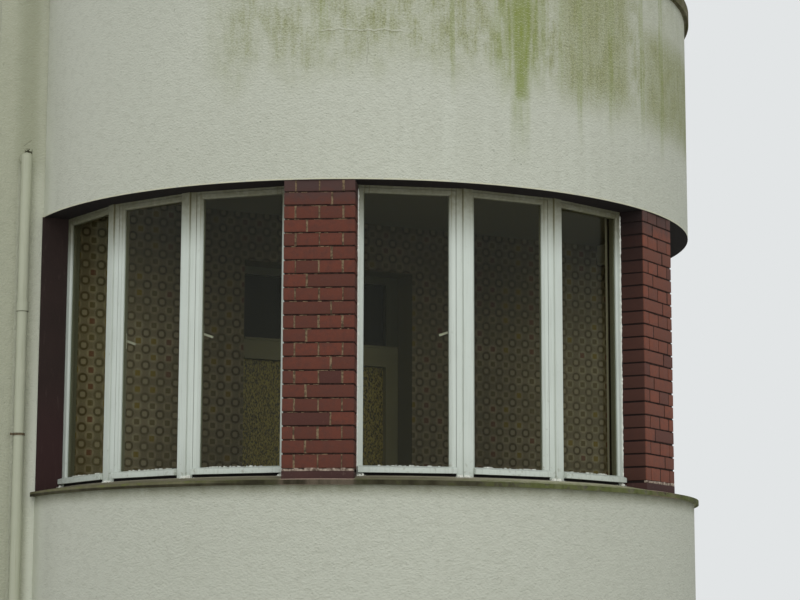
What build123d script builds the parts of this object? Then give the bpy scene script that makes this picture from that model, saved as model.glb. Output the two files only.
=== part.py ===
from build123d import *
from math import atan2, cos, degrees, hypot, pi, radians, sin, tan
import os

# Half-round bay window of a rendered brick house, in millimetres, +Z up.
# The bay bulges towards -Y from a stretch of house wall. Azimuths are measured in plan
# from the bay's axis (-Y), positive towards +X, so +X is on the right seen from outside.

# Driving sizes of the round walls: base wall, window opening and parapet, from the ground up
bay_radius = 2090
wall_thickness = 300
sill_level = 2375
window_height = 1655
parapet_height = 1380
parapet_setback = 10
wall_segments = 5

# House wall behind the bay
house_wall_thickness = 380
house_wall_reach = 285

# Floor and terrace deck
sill_above_floor = 975
floor_thickness = 200
deck_above_head = 370
deck_thickness = 220

# Coping on the parapet
coping_thickness = 70
coping_overhang = 28
coping_fall = 14

# Sloping outer sill
sill_overhang = 28
sill_nosing = 25
sill_upstand = 60
sill_margin = 10
drip_width = 8
drip_depth = 5
drip_setback = 9

# Brick piers, one and a half bricks wide, on a painted plinth strip
pier_width = 388
pier_setback = 20
plinth_height = 73

# Window units, flat casements set in a polygon behind the piers' faces
lights_per_group = 3
window_setback = 160
frame_depth = 70
post_face = 36
jamb_post_face = 14
tuck_behind_pier = 36
head_face = 36
head_visible = 12
frame_foot = 20
edge_round = 2

# Casement sashes
sash_gap = 2
sash_thickness = 36
sash_stop = 12
stile_face = 38
end_stile_face = 33
top_rail_face = 28
bottom_rail_face = 30
putty_slope = 8
glass_thickness = 4
glass_bite = 7
glass_depth = 16

# Cover strips on the mullions and drip rails on the sashes
strip_width = 62
strip_thickness = 9
rail_height = 38
rail_reach = 30
rail_drop = 6
rail_slope = 10

# Inner window boards and casement handles
board_thickness = 25
board_nosing = 50
handle_plate = (22, 7, 90)
handle_neck = 24
handle_lever = (12, 9, 65)
handle_tilt = 20

# Painted linings of the facade jambs
lining_thickness = 12
lining_arris = 2

# Glazed screen, set back in a deep opening in the house wall, on the bay's inner side
screen_width = 1170
screen_offset = -198
screen_below_ceiling = 300
screen_setback = 200
screen_depth = 90
screen_stile = 86
screen_top_rail = 50
screen_bottom_rail = 180
transom_above_floor = 1893
transom_height = 136
transom_ledge = 14
screen_glass_thickness = 5

# Downpipe that drains the terrace
pipe_diameter = 62
pipe_wall = 3
pipe_offset = 121
pipe_standoff = 52
pipe_collar = 4
collar_height = 60
collar_drop = 920
brackets = 2
bracket_drop = 1670
bracket_spacing = 1360
bracket_height = 14
bracket_band = 4
bracket_lug = 22

# Working clearance between pieces that seat against each other
seat = 0.3

# Worked-out places
head_level = sill_level + window_height
parapet_top = head_level + parapet_height
floor_level = sill_level - sill_above_floor
deck_level = head_level + deck_above_head
inner_radius = bay_radius - wall_thickness
parapet_radius = bay_radius - parapet_setback
bay_y = (bay_radius + sill_overhang - house_wall_thickness) / 2
house_half_width = bay_radius + house_wall_reach
house_top = parapet_top + coping_thickness
frame_bottom = sill_level + sill_upstand
frame_top = head_level - head_visible + head_face
sash_bottom = frame_bottom + frame_foot + sash_gap
sash_top = head_level - head_visible - sash_gap
pier_face = bay_radius - pier_setback
pier_depth = wall_thickness - pier_setback
plinth_top = sill_level + plinth_height
window_vertex_radius = bay_radius - window_setback
bay_axis = Axis((0, bay_y, 0), (0, 0, 1))

screen_left = screen_offset - screen_width / 2
screen_right = screen_offset + screen_width / 2
screen_head = deck_level - deck_thickness - screen_below_ceiling
transom_bottom = floor_level + transom_above_floor

# The piers' sides fix where the window groups end: the groups share what is left of 180 degrees
pier_side_distance = (window_vertex_radius ** 2 - (pier_width / 2) ** 2) ** 0.5
pier_half_angle = degrees(atan2(pier_width / 2, pier_side_distance))
group_angle = (180 - 4 * pier_half_angle) / 3
pier_azimuth = group_angle / 2 + pier_half_angle
unit_angle = group_angle / lights_per_group
half_unit = radians(unit_angle / 2)
unit_distance = window_vertex_radius * cos(half_unit)
unit_half_width = window_vertex_radius * sin(half_unit)

# Sill slope, from its front edge up to the level strip that carries the frames
sill_front = bay_radius + sill_overhang
sill_slope = (sill_upstand - sill_nosing) / (sill_front - window_vertex_radius)


def polar(radius, azimuth, z=0):
    """A point at a radius and azimuth about the bay's axis."""
    a = radians(azimuth)
    return Vector(radius * sin(a), bay_y - radius * cos(a), z)


def sill_surface(radius):
    """Height of the sill's sloping top at a radius."""
    return sill_level + sill_nosing + (sill_front - radius) * sill_slope


def ring_sector(r_in, r_out, start, end, z_low, z_high):
    """A wall segment: part of a ring between two azimuths."""
    middle = (start + end) / 2
    outline = Curve() + [
        ThreePointArc(polar(r_out, start), polar(r_out, middle), polar(r_out, end)),
        Line(polar(r_out, end), polar(r_in, end)),
        ThreePointArc(polar(r_in, end), polar(r_in, middle), polar(r_in, start)),
        Line(polar(r_in, start), polar(r_out, start)),
    ]
    return extrude(Pos(0, 0, z_low) * make_face(outline), amount=z_high - z_low, dir=(0, 0, 1))


def half_disc(radius, z_low, z_high):
    """A slab that fills the half circle in front of the house wall."""
    outline = Curve() + [
        ThreePointArc(polar(radius, -90), polar(radius, 0), polar(radius, 90)),
        Line(polar(radius, 90), polar(radius, -90)),
    ]
    return extrude(Pos(0, 0, z_low) * make_face(outline), amount=z_high - z_low, dir=(0, 0, 1))


def swept_profile(points, start, end):
    """A profile of (radius, height) points, revolved about the bay's axis between two azimuths."""
    a = radians(start)
    radial = Vector(sin(a), -cos(a), 0)
    plane = Plane(origin=(0, bay_y, 0), x_dir=radial, z_dir=radial.cross(Vector(0, 0, 1)))
    face = make_face(Polyline(*points, close=True))
    return revolve(plane * face, axis=bay_axis, revolution_arc=end - start)


def block(x_low, x_high, y_low, y_high, z_low, z_high):
    """A box between two corners."""
    size = (x_high - x_low, y_high - y_low, z_high - z_low)
    return Pos(x_low, y_low, z_low) * Box(*size, align=(Align.MIN, Align.MIN, Align.MIN))


def segment_azimuths():
    """Start and end azimuth of each wall segment, from left to right."""
    step = 180 / wall_segments
    return [(-90 + i * step, -90 + (i + 1) * step) for i in range(wall_segments)]


def write(name, shapes):
    """Write one sub-part, with its solids apart, to its STEP file."""
    solids = [solid for shape in shapes for solid in shape.solids()]
    part = solids[0] if len(solids) == 1 else Compound(children=solids)
    part.label = name
    export_step(part, os.path.join("parts", name + ".step"))


# Window units

groups = ("left", "middle", "right")
group_centres = {"left": -2 * pier_azimuth, "middle": 0, "right": 2 * pier_azimuth}


def unit_azimuth(group, number):
    """Azimuth of a unit's middle; numbers run from left to right."""
    return group_centres[group] + (number - (lights_per_group - 1) / 2) * unit_angle


def unit_place(group, number):
    """Where a unit stands: local x to the right, y inwards, z up."""
    azimuth = unit_azimuth(group, number)
    a = radians(azimuth)
    return Plane(origin=polar(unit_distance, azimuth), x_dir=(cos(a), sin(a), 0), z_dir=(0, 0, 1)).location


def beside_pier(group, number):
    """Which sides of a unit are tucked behind a pier, as (left, right)."""
    first = number == 0
    last = number == lights_per_group - 1
    left = first and group != "left"
    right = last and group != "right"
    return left, right


def strip_side(group, number):
    """Side of the mullion cover strip: -1 left, 1 right, 0 none."""
    if group == "left":
        return 1 if number < lights_per_group - 1 else 0
    return -1 if number > 0 else 0


def unit_plan(group, number, spare=0.0):
    """Plan outline of a fixed frame: mitred at mullions and jambs, square behind a pier."""
    left, right = beside_pier(group, number)
    mitre = frame_depth * tan(half_unit)
    h = unit_half_width
    front_left = -h - tuck_behind_pier - spare if left else -h + seat / 2
    back_left = -h - tuck_behind_pier - spare if left else -h + mitre + seat / 2
    front_right = h + tuck_behind_pier + spare if right else h - seat / 2
    back_right = h + tuck_behind_pier + spare if right else h - mitre - seat / 2
    return Polyline(
        (front_left, -spare), (front_right, -spare), (back_right, frame_depth), (back_left, frame_depth), close=True
    )


def posts(group, number):
    """Visible widths of a unit's left and right post: none beside a pier, a slim one at the house wall."""
    left, right = beside_pier(group, number)
    left_post = 0 if left else post_face
    right_post = 0 if right else post_face
    if (group, number) == ("left", 0):
        left_post = jamb_post_face
    if (group, number) == ("right", lights_per_group - 1):
        right_post = jamb_post_face
    return left_post, right_post


def stiles(group, number):
    """Widths of a sash's left and right stile: slimmer at the ends of a group."""
    left = end_stile_face if number == 0 else stile_face
    right = end_stile_face if number == lights_per_group - 1 else stile_face
    return left, right


def sash_sides(group, number):
    """Left and right edge of a unit's sash."""
    left_post, right_post = posts(group, number)
    return -unit_half_width + left_post + sash_gap, unit_half_width - right_post - sash_gap


def fixed_frame(group, number):
    """A unit's fixed frame: posts, head and foot with a stop for the sash, and the cover strip."""
    low, high = sash_sides(group, number)
    outline = Pos(0, 0, frame_bottom) * make_face(unit_plan(group, number))
    body = extrude(outline, amount=frame_top - frame_bottom, dir=(0, 0, 1))
    rebate = sash_thickness + seat
    body -= block(
        low - sash_gap, high + sash_gap, -1, rebate, sash_bottom - sash_gap, sash_top + sash_gap
    )
    body -= block(
        low + sash_stop, high - sash_stop, -1, frame_depth + 1, sash_bottom + sash_stop, sash_top - sash_stop
    )
    side = strip_side(group, number)
    if side:
        edge = side * (unit_half_width - seat / 2)
        inner = side * (unit_half_width - strip_width)
        strip = block(min(edge, inner), max(edge, inner), -strip_thickness, 0, frame_bottom, head_level)
        long_edges = strip.edges().filter_by(Axis.Z).group_by(Axis.Y)[0]
        body += chamfer(long_edges, edge_round)
    return body


def sash(group, number):
    """A casement sash: stiles and rails with a putty slope outside and a groove for the pane."""
    low, high = sash_sides(group, number)
    left_stile, right_stile = stiles(group, number)
    body = block(low, high, 0, sash_thickness, sash_bottom, sash_top)
    day_low = low + left_stile
    day_high = high - right_stile
    day_bottom = sash_bottom + bottom_rail_face
    day_top = sash_top - top_rail_face
    body -= block(day_low, day_high, -1, sash_thickness + 1, day_bottom, day_top)
    rim = body.faces().filter_by(Axis.Y).sort_by(Axis.Y)[0].inner_wires()[0].edges()
    body = chamfer(rim, putty_slope)
    bite = glass_bite + seat
    groove_front = glass_depth - seat
    groove_back = glass_depth + glass_thickness + seat
    body -= block(
        day_low - bite, day_high + bite, groove_front, groove_back, day_bottom - bite, day_top + bite
    )
    return body


def pane(group, number):
    """A sheet of glass in a sash's groove."""
    low, high = sash_sides(group, number)
    left_stile, right_stile = stiles(group, number)
    return block(
        low + left_stile - glass_bite,
        high - right_stile + glass_bite,
        glass_depth,
        glass_depth + glass_thickness,
        sash_bottom + bottom_rail_face - glass_bite,
        sash_top - top_rail_face + glass_bite,
    )


def drip_rail(group, number):
    """The weathered rail on a sash's foot, between the cover strip and the sash's free edge."""
    low, high = sash_sides(group, number)
    side = strip_side(group, number)
    clear = unit_half_width - strip_width - seat
    jamb = unit_half_width - lining_thickness / cos(half_unit) - seat
    start = -clear if side < 0 else low
    end = clear if side > 0 else high
    if (group, number) == ("left", 0):
        start = -jamb
    if (group, number) == ("right", lights_per_group - 1):
        end = jamb
    base = sash_bottom - rail_drop
    profile = [
        (-seat, base),
        (-seat, base + rail_height),
        (-rail_reach + edge_round, base + rail_height - rail_slope),
        (-rail_reach, base + rail_height - rail_slope - edge_round),
        (-rail_reach, base),
        (-rail_reach + drip_width, base),
        (-rail_reach + drip_width, base + drip_depth),
        (-rail_reach + 2 * drip_width, base + drip_depth),
        (-rail_reach + 2 * drip_width, base),
    ]
    face = make_face(Polyline(*profile, close=True))
    side_plane = Plane(origin=(start, 0, 0), x_dir=(0, 1, 0), z_dir=(1, 0, 0))
    return extrude(side_plane * face, amount=end - start, dir=(1, 0, 0))


def handle(group, number):
    """A casement handle on the inner side of the opening stile: plate, neck and lever."""
    low, high = sash_sides(group, number)
    opens_left = group == "left"
    left_stile, right_stile = stiles(group, number)
    x = low + (sash_stop + left_stile) / 2 if opens_left else high - (sash_stop + right_stile) / 2
    inner = sash_thickness
    middle = (sash_bottom + sash_top) / 2
    plate = Pos(x, inner + handle_plate[1] / 2, middle) * Box(*handle_plate)
    reach = handle_plate[1] + handle_neck
    neck = Pos(x, inner + reach / 2, middle) * Rot(90, 0, 0) * Cylinder(handle_lever[0] / 2, reach)
    turn = handle_tilt if opens_left else -handle_tilt
    towards = 1 if opens_left else -1
    lever = Pos(towards * (handle_lever[2] / 2 - handle_lever[0] / 2), 0, 0) * Box(
        handle_lever[2], handle_lever[1], handle_lever[0]
    )
    lever = Pos(x, inner + reach, middle) * Rot(0, turn, 0) * lever
    return plate + neck + lever


def units():
    """Every unit as (group, number)."""
    return [(group, number) for group in groups for number in range(lights_per_group)]


def handled_units():
    """Units whose sash has a handle; the others are never opened."""
    return [("left", 1), ("left", 2), ("middle", 0), ("right", 0), ("right", 1)]


def head_pocket(group, number):
    """Space above the soffit's edge for a frame's head."""
    left, right = beside_pier(group, number)
    low = -unit_half_width - (tuck_behind_pier + seat if left else 0)
    high = unit_half_width + (tuck_behind_pier + seat if right else 0)
    room = block(low, high, -seat, wall_thickness, head_level - 1, frame_top + seat)
    return unit_place(group, number) * room


# Round walls

def base_walls():
    for i, (start, end) in enumerate(segment_azimuths()):
        write("base_wall_%d" % (i + 1), [ring_sector(inner_radius, bay_radius, start, end, 0, sill_level)])


def parapet_walls():
    pockets = [head_pocket(*unit) for unit in units()]
    for i, (start, end) in enumerate(segment_azimuths()):
        wall = ring_sector(inner_radius, parapet_radius, start, end, head_level, parapet_top)
        for pocket in pockets:
            wall -= pocket
        write("parapet_wall_%d" % (i + 1), [wall])


def piece_azimuths():
    """The sill and coping are laid in three lengths that meet at the piers."""
    return (("left", -90, -pier_azimuth), ("middle", -pier_azimuth, pier_azimuth), ("right", pier_azimuth, 90))


def copings():
    inside = inner_radius - coping_overhang
    outside = parapet_radius + coping_overhang
    profile = [
        (inside, parapet_top),
        (outside - drip_setback - drip_width, parapet_top),
        (outside - drip_setback - drip_width, parapet_top + drip_depth),
        (outside - drip_setback, parapet_top + drip_depth),
        (outside - drip_setback, parapet_top),
        (outside, parapet_top),
        (outside, parapet_top + coping_thickness),
        (inside, parapet_top + coping_thickness - coping_fall),
    ]
    for name, start, end in piece_azimuths():
        write("coping_" + name, [swept_profile(profile, start, end)])


# Piers

def pier_plan():
    """Plan outline of a pier about its own middle, local y inwards from its face."""
    half = pier_width / 2
    return Polyline((-half, 0), (half, 0), (half, pier_depth), (-half, pier_depth), close=True)


def pier_place(side):
    azimuth = side * pier_azimuth
    a = radians(azimuth)
    return Plane(origin=polar(pier_face, azimuth), x_dir=(cos(a), sin(a), 0), z_dir=(0, 0, 1)).location


def frame_pockets(side):
    """Room behind a pier's nibs for the two units beside it."""
    first, second = ("left", "middle") if side < 0 else ("middle", "right")
    reach = unit_half_width + tuck_behind_pier + seat
    depth = pier_depth + wall_thickness
    right_tuck = block(0, reach, -seat, depth, frame_bottom, head_level + 1)
    left_tuck = block(-reach, 0, -seat, depth, frame_bottom, head_level + 1)
    return [
        unit_place(first, lights_per_group - 1) * right_tuck,
        unit_place(second, 0) * left_tuck,
    ]


def pier_body(side, z_low, z_high):
    body = extrude(
        pier_place(side) * Pos(0, 0, z_low) * make_face(pier_plan()), amount=z_high - z_low, dir=(0, 0, 1)
    )
    for pocket in frame_pockets(side):
        body -= pocket
    return body


def piers():
    write("brick_pier_left", [pier_body(-1, plinth_top, head_level)])
    write("brick_pier_right", [pier_body(1, plinth_top, head_level)])
    write("pier_plinths", [pier_body(side, sill_level, plinth_top) for side in (-1, 1)])


# Sill

def sills():
    outside = sill_front
    inside = inner_radius + sill_margin
    profile = [
        (inside, sill_level),
        (outside - drip_setback - drip_width, sill_level),
        (outside - drip_setback - drip_width, sill_level + drip_depth),
        (outside - drip_setback, sill_level + drip_depth),
        (outside - drip_setback, sill_level),
        (outside, sill_level),
        (outside, sill_level + sill_nosing),
        (window_vertex_radius, frame_bottom),
        (inside, frame_bottom),
    ]
    half = pier_width / 2 + seat
    for name, start, end in piece_azimuths():
        sill = swept_profile(profile, start, end)
        for side in (-1, 1):
            hole = block(-half, half, -seat, pier_depth + wall_thickness, sill_level - 1, frame_bottom + 1)
            sill -= pier_place(side) * hole
        write("sill_" + name, [sill])


# Jamb linings

def jamb_linings():
    outer = bay_radius - lining_arris
    inner = window_vertex_radius + seat
    linings = []
    for side in (-1, 1):
        outline = Polyline(
            (side * outer, sill_surface(outer) + seat),
            (side * inner, sill_surface(inner) + seat),
            (side * inner, head_level),
            (side * outer, head_level),
            close=True,
        )
        face = Plane(origin=(0, bay_y, 0), x_dir=(1, 0, 0), z_dir=(0, -1, 0)) * make_face(outline)
        linings.append(extrude(face, amount=lining_thickness, dir=(0, -1, 0)))
    write("jamb_linings", linings)


# Window boards

def window_board(name, start, end):
    """An inner board: round nosing towards the room, straight edges along the frames, cut round the piers."""
    first = unit_azimuth(name, 0) - unit_angle / 2
    outer = (unit_distance - frame_depth - seat) / cos(half_unit)
    corners = [polar(outer, first + i * unit_angle) for i in range(lights_per_group + 1)]
    if name != "left":
        corners.insert(0, polar(outer, start))
    if name != "right":
        corners.append(polar(outer, end))
    inner = inner_radius - board_nosing
    outline = Curve() + [
        Polyline(*corners),
        Line(corners[-1], polar(inner, end)),
        ThreePointArc(polar(inner, end), polar(inner, (start + end) / 2), polar(inner, start)),
        Line(polar(inner, start), corners[0]),
    ]
    board = extrude(Pos(0, 0, frame_bottom) * make_face(outline), amount=board_thickness, dir=(0, 0, 1))
    for side in (-1, 1):
        board -= pier_body(side, frame_bottom - 1, frame_bottom + board_thickness + 1)
    return board


# House wall and slabs

def house_walls():
    back = bay_y + house_wall_thickness
    write("house_wall_left", [block(-house_half_width, screen_left, bay_y, back, 0, house_top)])
    write("house_wall_right", [block(screen_right, house_half_width, bay_y, back, 0, house_top)])
    write("house_wall_foot", [block(screen_left, screen_right, bay_y, back, 0, floor_level)])
    write("house_wall_head", [block(screen_left, screen_right, bay_y, back, screen_head, house_top)])


def slabs():
    rim = inner_radius - seat
    write("floor_slab", [half_disc(rim, floor_level - floor_thickness, floor_level)])
    write("terrace_deck", [half_disc(rim, deck_level - deck_thickness, deck_level)])


# Glazed screen

def glazed_screen():
    front = bay_y + screen_setback
    left = screen_left + seat
    right = screen_right - seat
    low = floor_level + seat
    high = screen_head - seat
    frame = block(left, right, front, front + screen_depth, low, high)
    day_left = left + screen_stile
    day_right = right - screen_stile
    transom_top = transom_bottom + transom_height
    openings = ((low + screen_bottom_rail, transom_bottom), (transom_top, high - screen_top_rail))
    middle = front + screen_depth / 2
    panes = []
    for bottom, top in openings:
        frame -= block(day_left, day_right, front - 1, front + screen_depth + 1, bottom, top)
        bite = glass_bite + seat
        half = screen_glass_thickness / 2
        frame -= block(
            day_left - bite, day_right + bite, middle - half - seat, middle + half + seat, bottom - bite, top + bite
        )
        panes.append(
            block(
                day_left - glass_bite,
                day_right + glass_bite,
                middle - half,
                middle + half,
                bottom - glass_bite,
                top + glass_bite,
            )
        )
    for level in (transom_bottom, transom_top - transom_ledge):
        frame += block(day_left, day_right, front - transom_ledge, front, level, level + transom_ledge)
    write("screen_frame", [frame])
    write("screen_glass", panes)


# Downpipe

def downpipe():
    x = -(bay_radius + pipe_offset)
    y = bay_y - pipe_standoff
    radius = pipe_diameter / 2
    top = deck_level - pipe_diameter / 2
    run = Pos(x, y, 0) * Cylinder(radius, top, align=(Align.CENTER, Align.CENTER, Align.MIN))
    bend_centre = Pos(x, y, top)
    elbow = bend_centre * Sphere(radius)
    outlet = bend_centre * Rot(-90, 0, 0) * Cylinder(
        radius, pipe_standoff, align=(Align.CENTER, Align.CENTER, Align.MIN)
    )
    collar = Pos(x, y, deck_level - collar_drop) * Cylinder(radius + pipe_collar, collar_height)
    bore = Pos(x, y, -1) * Cylinder(
        radius - pipe_wall, top - pipe_diameter, align=(Align.CENTER, Align.CENTER, Align.MIN)
    )
    pipe = run + elbow + outlet + collar - bore
    write("downpipe", [pipe])
    clips = []
    for i in range(brackets):
        level = deck_level - bracket_drop - i * bracket_spacing
        band = Pos(x, y, level) * Cylinder(radius + bracket_band, bracket_height)
        stem = block(
            x - bracket_height / 2,
            x + bracket_height / 2,
            y,
            bay_y,
            level - bracket_height / 2,
            level + bracket_height / 2,
        )
        lug = block(
            x - radius - bracket_lug,
            x,
            y - bracket_band / 2,
            y + bracket_band / 2,
            level - bracket_height / 2,
            level + bracket_height / 2,
        )
        hole = Pos(x, y, level) * Cylinder(radius + seat, bracket_height + 2)
        clips.append(band + stem + lug - hole)
    write("pipe_brackets", clips)


# Assembly

os.makedirs("parts", exist_ok=True)
house_walls()
base_walls()
parapet_walls()
copings()
slabs()
sills()
piers()
jamb_linings()
for group in groups:
    lights = [(group, number) for number in range(lights_per_group)]
    write("window_frames_" + group, [unit_place(*unit) * fixed_frame(*unit) for unit in lights])
    write("sashes_" + group, [unit_place(*unit) * sash(*unit) for unit in lights])
write("window_glass", [unit_place(*unit) * pane(*unit) for unit in units()])
write("drip_rails", [unit_place(*unit) * drip_rail(*unit) for unit in units()])
write("window_handles", [unit_place(*unit) * handle(*unit) for unit in handled_units()])
write("window_boards", [window_board(*piece) for piece in piece_azimuths()])
glazed_screen()
downpipe()
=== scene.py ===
import math
import random

import bmesh
import bpy
from mathutils import Euler, Matrix, Vector, noise


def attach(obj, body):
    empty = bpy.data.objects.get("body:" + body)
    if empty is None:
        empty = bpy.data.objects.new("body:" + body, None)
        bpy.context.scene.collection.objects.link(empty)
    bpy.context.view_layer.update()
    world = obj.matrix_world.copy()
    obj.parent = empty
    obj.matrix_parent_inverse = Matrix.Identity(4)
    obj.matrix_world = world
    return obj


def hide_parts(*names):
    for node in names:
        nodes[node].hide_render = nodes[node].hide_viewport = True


# Half-round bay window of a rendered brick house, in metres, +Z up, outside towards -Y.

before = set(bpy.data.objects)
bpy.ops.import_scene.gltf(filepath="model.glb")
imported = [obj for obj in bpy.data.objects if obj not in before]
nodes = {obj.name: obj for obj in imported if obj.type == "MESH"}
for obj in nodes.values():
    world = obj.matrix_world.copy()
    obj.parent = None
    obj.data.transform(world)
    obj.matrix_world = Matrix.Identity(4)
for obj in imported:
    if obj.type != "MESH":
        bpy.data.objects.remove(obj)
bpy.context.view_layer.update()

# Everything left to chance starts from one seed; without it the noise module would start from the clock
SEED = 7
rng = random.Random(SEED)
noise.seed_set(SEED)

# Places that the looks share with the solids
BAY_RADIUS = 2.090
PARAPET_RADIUS = 2.080
BAY_Y = 0.869
HOUSE_WALL = 0.380
SILL = 2.375
FRAME_FOOT = 2.435
SASH_FOOT = 2.457
GLASS_FOOT = 2.487
SOFFIT = 4.030
CEILING = 4.180
DECK = 4.400
VERTEX_RADIUS = 1.930
PIER_FACE = 2.070
PIER_HALF = 0.194
PLINTH_TOP = 2.448
PIER_HALF_ANGLE = math.asin(PIER_HALF / VERTEX_RADIUS)
GROUP_ANGLE = (math.pi - 4 * PIER_HALF_ANGLE) / 3
PIER_AZIMUTH = GROUP_ANGLE / 2 + PIER_HALF_ANGLE
UNIT_ANGLE = GROUP_ANGLE / 3
UNIT_HALF = VERTEX_RADIUS * math.sin(UNIT_ANGLE / 2)
UNIT_DISTANCE = VERTEX_RADIUS * math.cos(UNIT_ANGLE / 2)
STRIP = 0.062
POST = 0.036
PIPE_X = -2.211
PIPE_COLLAR_FOOT = 3.450
SCREEN_LIGHT = 3.36
SILL_FRONT = 2.118
SILL_FALL = 0.186

# Widths of the floor boards, of the felt on the terrace and of one figure of the wallpaper
BOARD_WIDTH = 0.12
FELT_WIDTH = 0.9
PAPER_PITCH = 0.098

# Brickwork: courses counted down from the soffit, and how far the joints lie back
COURSES = 21
COURSE = 0.075
JOINT = 0.009
FIRST_JOINT = 3.965
RAKED = 0.006
BRICK_DEPTH = 0.146
HEADER = 0.121
QUARTER = 0.060
STRETCHER = 0.256

# How many loose bits lie at each window, post and pane, and the steps of a bead of filler
CHIPS = 22
LUMPS = 7
CRUMBS = 24
BEAD_STEP = 0.011

# The photograph's view: direction from the bay's axis, distance and eye level, and where the lens points
VIEW_AZIMUTH = math.radians(-26.035)
VIEW_DISTANCE = 13.6445
EYE_LEVEL = 1.6
LENS = 97.861
TURN_ASIDE = 0.01945
PITCH = 0.15169
ROLL = 0.00271


def polar(radius, azimuth, z=0.0):
    return Vector((radius * math.sin(azimuth), BAY_Y - radius * math.cos(azimuth), z))


def place_at(radius, azimuth):
    """Local x to the right, y inwards, z up, at a radius and azimuth about the bay's axis."""
    return Matrix.Translation(polar(radius, azimuth)) @ Matrix.Rotation(azimuth, 4, "Z")


def unit_place(group, number):
    """Place of a window unit's outer face; groups and units count from 0 at the left."""
    return place_at(UNIT_DISTANCE, (group - 1) * 2 * PIER_AZIMUTH + (number - 1) * UNIT_ANGLE)


def pier_place(side):
    """Place of a pier's outer face; side is -1 for the left one and 1 for the right one."""
    return place_at(PIER_FACE, side * PIER_AZIMUTH)


# Materials

def srgb(red, green, blue):
    """Linear colour of an 8-bit screen colour."""
    def linear(v):
        v /= 255
        return v / 12.92 if v <= 0.04045 else ((v + 0.055) / 1.055) ** 2.4
    return (linear(red), linear(green), linear(blue), 1.0)


def add_node(tree, kind, inputs=(), **settings):
    """A node with its settings, and values or other nodes' sockets on its inputs."""
    made = tree.nodes.new(kind)
    for key, value in settings.items():
        setattr(made, key, value)
    for key, value in dict(inputs).items():
        if isinstance(value, bpy.types.NodeSocket):
            tree.links.new(value, made.inputs[key])
        else:
            made.inputs[key].default_value = value
    return made


class Shader:
    """A material's nodes, built from short calls that return sockets."""

    def __init__(self, name):
        self.material = bpy.data.materials.new(name)
        self.material.use_nodes = True
        self.tree = self.material.node_tree
        self.tree.nodes.clear()
        self.place = self.node("ShaderNodeTexCoord").outputs["Object"]
        self.x, self.y, self.z = self.node("ShaderNodeSeparateXYZ", {0: self.place}).outputs

    def node(self, kind, inputs=(), **settings):
        return add_node(self.tree, kind, inputs, **settings)

    def math(self, operation, a, b=0.0):
        return self.node("ShaderNodeMath", {0: a, 1: b}, operation=operation).outputs[0]

    def add(self, a, b):
        return self.math("ADD", a, b)

    def sub(self, a, b):
        return self.math("SUBTRACT", a, b)

    def mul(self, a, *factors):
        for factor in factors:
            a = self.math("MULTIPLY", a, factor)
        return a

    def divide(self, a, b):
        return self.math("DIVIDE", a, b)

    def either(self, a, b):
        return self.math("MAXIMUM", a, b)

    def size(self, a):
        return self.math("ABSOLUTE", a)

    def smooth(self, value, low, high):
        """0 at low, 1 at high, eased in between; low may be the larger."""
        return self.node(
            "ShaderNodeMapRange", {0: value, 1: low, 2: high, 3: 0.0, 4: 1.0}, interpolation_type="SMOOTHSTEP"
        ).outputs[0]

    def band(self, value, middle, half, soft):
        """1 within half of middle, 0 past the soft edge."""
        return self.smooth(self.size(self.sub(value, middle)), half + soft, half)

    def mix(self, share, a, b, blend="MIX"):
        inputs = {0: share, 6: a, 7: b}
        return self.node("ShaderNodeMix", inputs, data_type="RGBA", blend_type=blend).outputs[2]

    def random_of(self, value):
        """A random number between 0 and 1 that is the same for the same value."""
        return self.node("ShaderNodeTexWhiteNoise", {"W": value}, noise_dimensions="1D").outputs[0]

    def length(self, a, b):
        return self.math("SQRT", self.add(self.mul(a, a), self.mul(b, b)))

    def nearest(self, value, step):
        """The multiple of step that is nearest to value."""
        return self.mul(self.math("ROUND", self.divide(value, step)), step)

    def vector(self, x, y, z):
        return self.node("ShaderNodeCombineXYZ", {0: x, 1: y, 2: z}).outputs[0]

    def scaled(self, x, y, z):
        inputs = {0: self.place, 1: (x, y, z)}
        return self.node("ShaderNodeVectorMath", inputs, operation="MULTIPLY").outputs[0]

    def noise(self, scale, detail=3.0, roughness=0.5, vector=None):
        inputs = {"Vector": vector or self.place, "Scale": scale, "Detail": detail, "Roughness": roughness}
        return self.node("ShaderNodeTexNoise", inputs).outputs[0]

    def turned(self):
        """Azimuth about the bay's axis, and the radius."""
        y = self.sub(BAY_Y, self.y)
        return self.math("ARCTAN2", self.x, y), self.length(self.x, y)

    def behind_pier_face(self):
        """Distance behind the plane of the nearest pier's face."""
        azimuth, radius = self.turned()
        off = self.sub(self.size(azimuth), PIER_AZIMUTH)
        return self.sub(PIER_FACE, self.mul(radius, self.math("COSINE", off)))

    def in_unit(self):
        """Place across the nearest window unit, and distance in front of its frame."""
        azimuth, radius = self.turned()
        for step in (2 * PIER_AZIMUTH, UNIT_ANGLE):
            azimuth = self.sub(azimuth, self.nearest(azimuth, step))
        across = self.mul(radius, self.math("SINE", azimuth))
        return across, self.sub(self.mul(radius, self.math("COSINE", azimuth)), UNIT_DISTANCE)

    def body_tone(self):
        """The number that a heap gave to each of its bodies."""
        return self.node("ShaderNodeAttribute", attribute_name="tone").outputs["Fac"]

    def bump(self, height, distance, strength):
        inputs = {"Height": height, "Distance": distance, "Strength": strength}
        return self.node("ShaderNodeBump", inputs).outputs[0]

    def finish(self, colour, roughness, normal=None, specular=0.5):
        inputs = {"Base Color": colour, "Roughness": roughness, "Specular IOR Level": specular}
        if normal is not None:
            inputs["Normal"] = normal
        surface = self.node("ShaderNodeBsdfPrincipled", inputs).outputs[0]
        self.node("ShaderNodeOutputMaterial", {"Surface": surface})
        return self.material


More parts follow.
